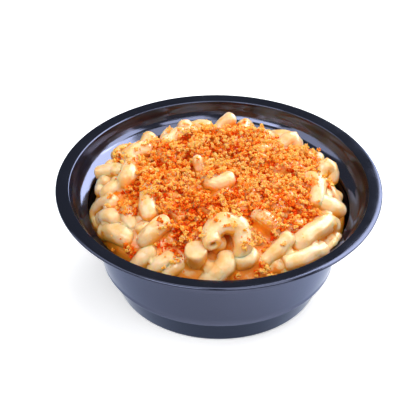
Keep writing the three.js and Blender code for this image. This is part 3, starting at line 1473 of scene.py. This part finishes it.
    def lump(self, heights: np.ndarray, centre: Point, size: float, kind: CrumbKind,
             random: np.random.Generator) -> np.ndarray:
        """Adds a lump to the ground, and places its grains, more of them above than below.

        Args:
            heights: The ground, which grows.
            centre: The lump's middle.
            size: Its radius.
            kind: What kind of crumb it is.
            random: The source of chance.

        Returns:
            Its grains as rows of x, y, z, radius and tone.
        """
        x, y, z = centre
        ground, over = self.ball(heights, x, y, size)
        np.maximum(ground, z + over, out=ground)
        count = int(random.integers(*kind.grains))
        out = random.normal(size=(count, 3))
        out /= np.linalg.norm(out, axis=1)[:, None]
        out[:, 2] = np.where(out[:, 2] < -self.most_under, -out[:, 2], out[:, 2])
        out[0] = 0.0
        radius = random.uniform(*kind.radius, count)
        radius[0] = max(radius[0], self.core * size)
        points = np.array(centre) + out * size * random.uniform(*self.grain_spread, (count, 1))
        cloud = noise.noise(Vector(centre) / self.tone_cloud_size)
        tone = random.uniform(*kind.tone) + self.tone_clouds * cloud
        tone += sum(patch.at(x, y) for patch in self.browned)
        # Painted light: grains higher in the lump are paler, lower ones deeper.
        tone = tone - self.painted_light_by_height * out[:, 2] + random.normal(0, self.tone_jitter, count)
        return np.column_stack([points, radius, tone])

    def fall(self, kind: CrumbKind, random: np.random.Generator) -> tuple[float, float]:
        """Draws where a lump falls, more often where the crumbs lie thick.

        Args:
            kind: What kind of crumb it is.
            random: The source of chance.

        Returns:
            The place on the plan.
        """
        level, swing = self.cloud_chance
        while True:
            x, y = random.uniform(-self.spread, self.spread, 2)
            cloud = noise.noise(Vector((x / self.clouds, y / self.clouds, self.cloud_level)))
            chance = (float(self.density(x, y)) + kind.stray) * (level + swing * cloud)
            if math.hypot(x, y) < self.edge and random.random() < chance:
                return x, y

    def scatter(self, heights: np.ndarray, staying: np.ndarray) -> dict[Toast, np.ndarray]:
        """Drops every lump, kinds mixed, and deepens the tone of what lies low among others, a
        painted shade.

        Args:
            heights: What they fall on.
            staying: The share that stays at each place.

        Returns:
            For each kind, its grains as rows of x, y, z, radius and tone.
        """
        random = np.random.default_rng(self.seed)
        order = np.concatenate([[index] * kind.lumps for index, kind in enumerate(self.kinds)])
        random.shuffle(order)
        kinds = {kind.toast: kind for kind in self.kinds}
        made: dict[Toast, list[np.ndarray]] = {toast: [] for toast in kinds}
        bare = heights.copy()
        for lump in self.chosen:
            middle = self.rest(bare, (lump.x, lump.y), lump.size, random, 0)
            made[lump.toast].append(
                self.lump(heights, middle, lump.size, kinds[lump.toast], random))
        for kind in (self.kinds[index] for index in order):
            place = self.fall(kind, random)
            if random.random() > staying[self.cell_at(place[0]), self.cell_at(place[1])]:
                continue
            size = random.uniform(*kind.size)
            middle = self.rest(heights, place, size, random, self.rolls)
            made[kind.toast].append(self.lump(heights, middle, size, kind, random))
        # Painted shade: grains below the mean height of the crumbs around them get a deeper tone.
        around = int(self.painted_shade_reach / self.cell)
        level = np.lib.stride_tricks.sliding_window_view(
            np.pad(heights, around, mode="edge"), (2 * around + 1,) * 2).mean(axis=(2, 3))
        rows = {toast: np.concatenate(lumps) for toast, lumps in made.items()}
        for grains in rows.values():
            x, y, z = grains[:, :3].T
            depth = level[self.cell_at(x), self.cell_at(y)] - z
            shade_tone = self.painted_shade_by_depth * np.clip(depth, *self.painted_shade_depths)
            grains[:, 4] = np.clip(grains[:, 4] + shade_tone, 0, 1)
        return rows

    def build(self, ground: list[Piece], heap: PastaHeap,
              finish: bpy.types.Material) -> list[Piece]:
        """Drops the crumbs and makes one object of each kind.

        Args:
            ground: What they fall on.
            heap: The pasta, some of which stays bare.
            finish: The crumbs' finish.

        Returns:
            The crumbs.
        """
        heights = self.landscape(ground)
        ball = bmesh.new()
        bmesh.ops.create_icosphere(ball, subdivisions=1, radius=1.0)
        points = np.array([vert.co for vert in ball.verts])
        faces = np.array([[vert.index for vert in face.verts] for face in ball.faces])
        ball.free()
        random = np.random.default_rng(self.seed + 1)
        made = []
        for toast, rows in self.scatter(heights, self.staying(heights, heap)).items():
            out = np.hypot(rows[:, 0], rows[:, 1]) + rows[:, 3] + self.wall_gap
            rows = rows[out < heap.bowl.inner_radius(rows[:, 2] - rows[:, 3])]
            count = len(rows)
            dents = random.uniform(1 - self.jitter, 1 + self.jitter, (count, len(points), 1))
            stretch = random.uniform(*self.stretch, (count, 1, 3))
            turn, _ = np.linalg.qr(random.normal(size=(count, 3, 3)))
            shape = np.einsum("nij,nkj->nki", turn, points[None] * dents * stretch)
            shape = shape * rows[:, None, 3:4] + rows[:, None, :3]
            corners = faces[None] + np.arange(count)[:, None, None] * len(points)
            mesh = bpy.data.meshes.new(toast.value)
            mesh.from_pydata((shape.reshape(-1, 3) * MM).tolist(), [],
                             corners.reshape(-1, faces.shape[1]).tolist())
            set_point_values(mesh, "tone", np.repeat(rows[:, 4], len(points)))
            bm = bmesh.new()
            bm.from_mesh(mesh)
            bmesh.ops.recalc_face_normals(bm, faces=bm.faces)
            bm.to_mesh(mesh)
            bm.free()
            mesh.materials.append(finish)
            made.append(placed(toast.value, mesh))
        return made


@dataclass(frozen=True)
class Dressing:
    """Stores on a mesh what the cheese coat reads: depth, shade and crumb dust at each point.

    Shade begins where a normal's upward part falls below shade_from, and dust where it rises
    over -dust_from.
    """

    mound: Mound
    crumbs: CrumbLayer
    shade_from: float = 0.5
    shade_range: float = 1.1
    dust_from: float = 0.35
    bare_dust: float = 0.1
    crumbed_dust: float = 0.75
    sauce_dust: float = 0.8

    def put_on(self, piece: Piece, dusty: float) -> None:
        """Stores the values.

        Args:
            piece: The piece.
            dusty: How much of the crumbs' dust it takes.
        """
        mesh = piece.data
        flat = np.empty(len(mesh.vertices) * 3, dtype=np.float32)
        mesh.vertices.foreach_get("co", flat)
        x, y, z = flat.reshape(-1, 3).astype(float).T / MM
        mesh.vertex_normals.foreach_get("vector", flat)
        upward = flat.reshape(-1, 3)[:, 2]
        shade = np.clip((self.shade_from - upward) / self.shade_range, 0, 1)
        dust = dusty * self.crumbs.density(x, y) * np.clip(self.dust_from + upward, 0, 1)
        set_point_values(mesh, "depth", self.mound.height(x, y) - z)
        set_point_values(mesh, "shade", shade)
        set_point_values(mesh, "dust", dust)


# The studio


@dataclass(frozen=True)
class Softbox:
    """A rectangular light that faces the bowl, with its sizes in metres.

    bearing 0 is to the right and 90 behind the bowl.
    """

    name: str
    bearing: float
    elevation: float
    distance: float
    width: float
    height: float
    radiance: float
    colour: Colour = (1.0, 1.0, 1.0)
    gloss_only: bool = False

    def build(self, target: Vector) -> None:
        """Hangs the light.

        Args:
            target: What it faces, in metres.
        """
        lamp = bpy.data.lights.new(self.name, "AREA")
        lamp.shape = "RECTANGLE"
        lamp.size, lamp.size_y = self.width, self.height
        lamp.energy = self.radiance * math.pi * self.width * self.height
        lamp.color = self.colour
        light = bpy.data.objects.new(self.name, lamp)
        bearing, elevation = math.radians(self.bearing), math.radians(self.elevation)
        out = Vector((math.cos(bearing) * math.cos(elevation),
                      math.sin(bearing) * math.cos(elevation), math.sin(elevation)))
        light.location = target + out * self.distance
        light.rotation_mode = "QUATERNION"
        light.rotation_quaternion = (-out).to_track_quat("-Z", "Y")
        light.visible_camera = False
        light.visible_diffuse = not self.gloss_only
        bpy.context.scene.collection.objects.link(light)


@dataclass(frozen=True)
class Studio:
    """The pale table, the soft lights and the camera, with their sizes in metres."""

    target: Point = (0.0, 0.0, 0.0635)
    camera_distance: float = 0.9
    camera_elevation: float = 36.431
    camera_roll: float = 0.994
    lens: float = 147.0
    sensor: float = 36.0
    shift: tuple[float, float] = (-0.0477, -0.0396)
    table_radius: float = 8.0
    table_sides: int = 96
    sky: Colour = (0.95, 0.97, 1.0)
    sky_strength: float = 0.2
    lights: tuple[Softbox, ...] = (
        Softbox("window", 44, 36, 1.5, 1.5, 1.3, 3.4, (0.98, 0.985, 1.0)),
        Softbox("window_glint", 44, 36, 1.49, 1.5, 1.3, 6.0, (0.98, 0.985, 1.0), True),
        Softbox("side_window", 1, 26, 1.5, 0.95, 0.85, 6.0, (0.96, 0.98, 1.0), True),
        Softbox("left_card", 182, 42, 1.5, 1.2, 1.0, 2.6, gloss_only=True),
        Softbox("overhead", 40, 82, 1.5, 1.2, 1.0, 3.1, (1.0, 0.985, 0.96)),
        Softbox("front_left", 236, 52, 1.5, 0.8, 0.6, 7.4),
        Softbox("front_right", 304, 52, 1.5, 0.8, 0.6, 4.8),
    )

    def table(self) -> Piece:
        """Lays the table.

        Returns:
            The table.
        """
        bm = bmesh.new()
        bmesh.ops.create_circle(bm, cap_ends=True, segments=self.table_sides,
                                radius=self.table_radius)
        return finished(bm, "table", PaleTable().material(), scale=1.0)

    def camera(self) -> None:
        """Sets up the camera."""
        lens = bpy.data.cameras.new("camera")
        lens.lens = self.lens
        lens.sensor_width = self.sensor
        lens.shift_x, lens.shift_y = self.shift
        lens.clip_end = 50.0
        camera = bpy.data.objects.new("camera", lens)
        elevation = math.radians(self.camera_elevation)
        back = Vector((0, -math.cos(elevation), math.sin(elevation)))
        place = Matrix.Translation(Vector(self.target) + back * self.camera_distance)
        tilt = Matrix.Rotation(math.pi / 2 - elevation, 4, "X")
        roll = Matrix.Rotation(math.radians(self.camera_roll), 4, "Z")
        camera.matrix_world = place @ (tilt @ roll)
        bpy.context.scene.collection.objects.link(camera)
        bpy.context.scene.camera = camera

    def build(self) -> None:
        """Makes the table, the lights, the sky and the camera."""
        self.table()
        for light in self.lights:
            light.build(Vector(self.target))
        world = bpy.data.worlds.new("studio")
        world.use_nodes = True
        background = world.node_tree.nodes["Background"]
        background.inputs["Color"].default_value = (*self.sky, 1.0)
        background.inputs["Strength"].default_value = self.sky_strength
        bpy.context.scene.world = world
        bpy.context.scene.view_settings.view_transform = "Standard"
        self.camera()


def main() -> None:
    """Builds the studio and the pieces in order."""
    logging.basicConfig(level=logging.INFO, format="%(name)s: %(message)s")
    noise.seed_set(NOISE_SEED)  # Without a seed, the vector noise takes its offsets from the clock.
    Studio().build()
    bowl = Bowl()
    shell = bowl.build(MouldedPlastic().material())
    hand_in(shell, Node.BOWL)
    mound = Mound()
    crumbs = CrumbLayer(mound)
    heap = PastaHeap(mound, bowl, crumbs)
    heap.fill()
    bare, crumbed = heap.build(ON_PASTA.material())
    sauce = Sauce(heap).build(POOLED.material())
    dressing = Dressing(mound, crumbs)
    for piece, dusty in ((bare, dressing.bare_dust), (crumbed, dressing.crumbed_dust),
                         (sauce, dressing.sauce_dust)):
        dressing.put_on(piece, dusty)
        hand_in(piece, Node.FOOD)
    ground = [bare, crumbed, sauce, shell]
    for piece in crumbs.build(ground, heap, ToastedCrumb().material()):
        hand_in(piece, Node.FOOD)


if __name__ == "__main__":
    main()
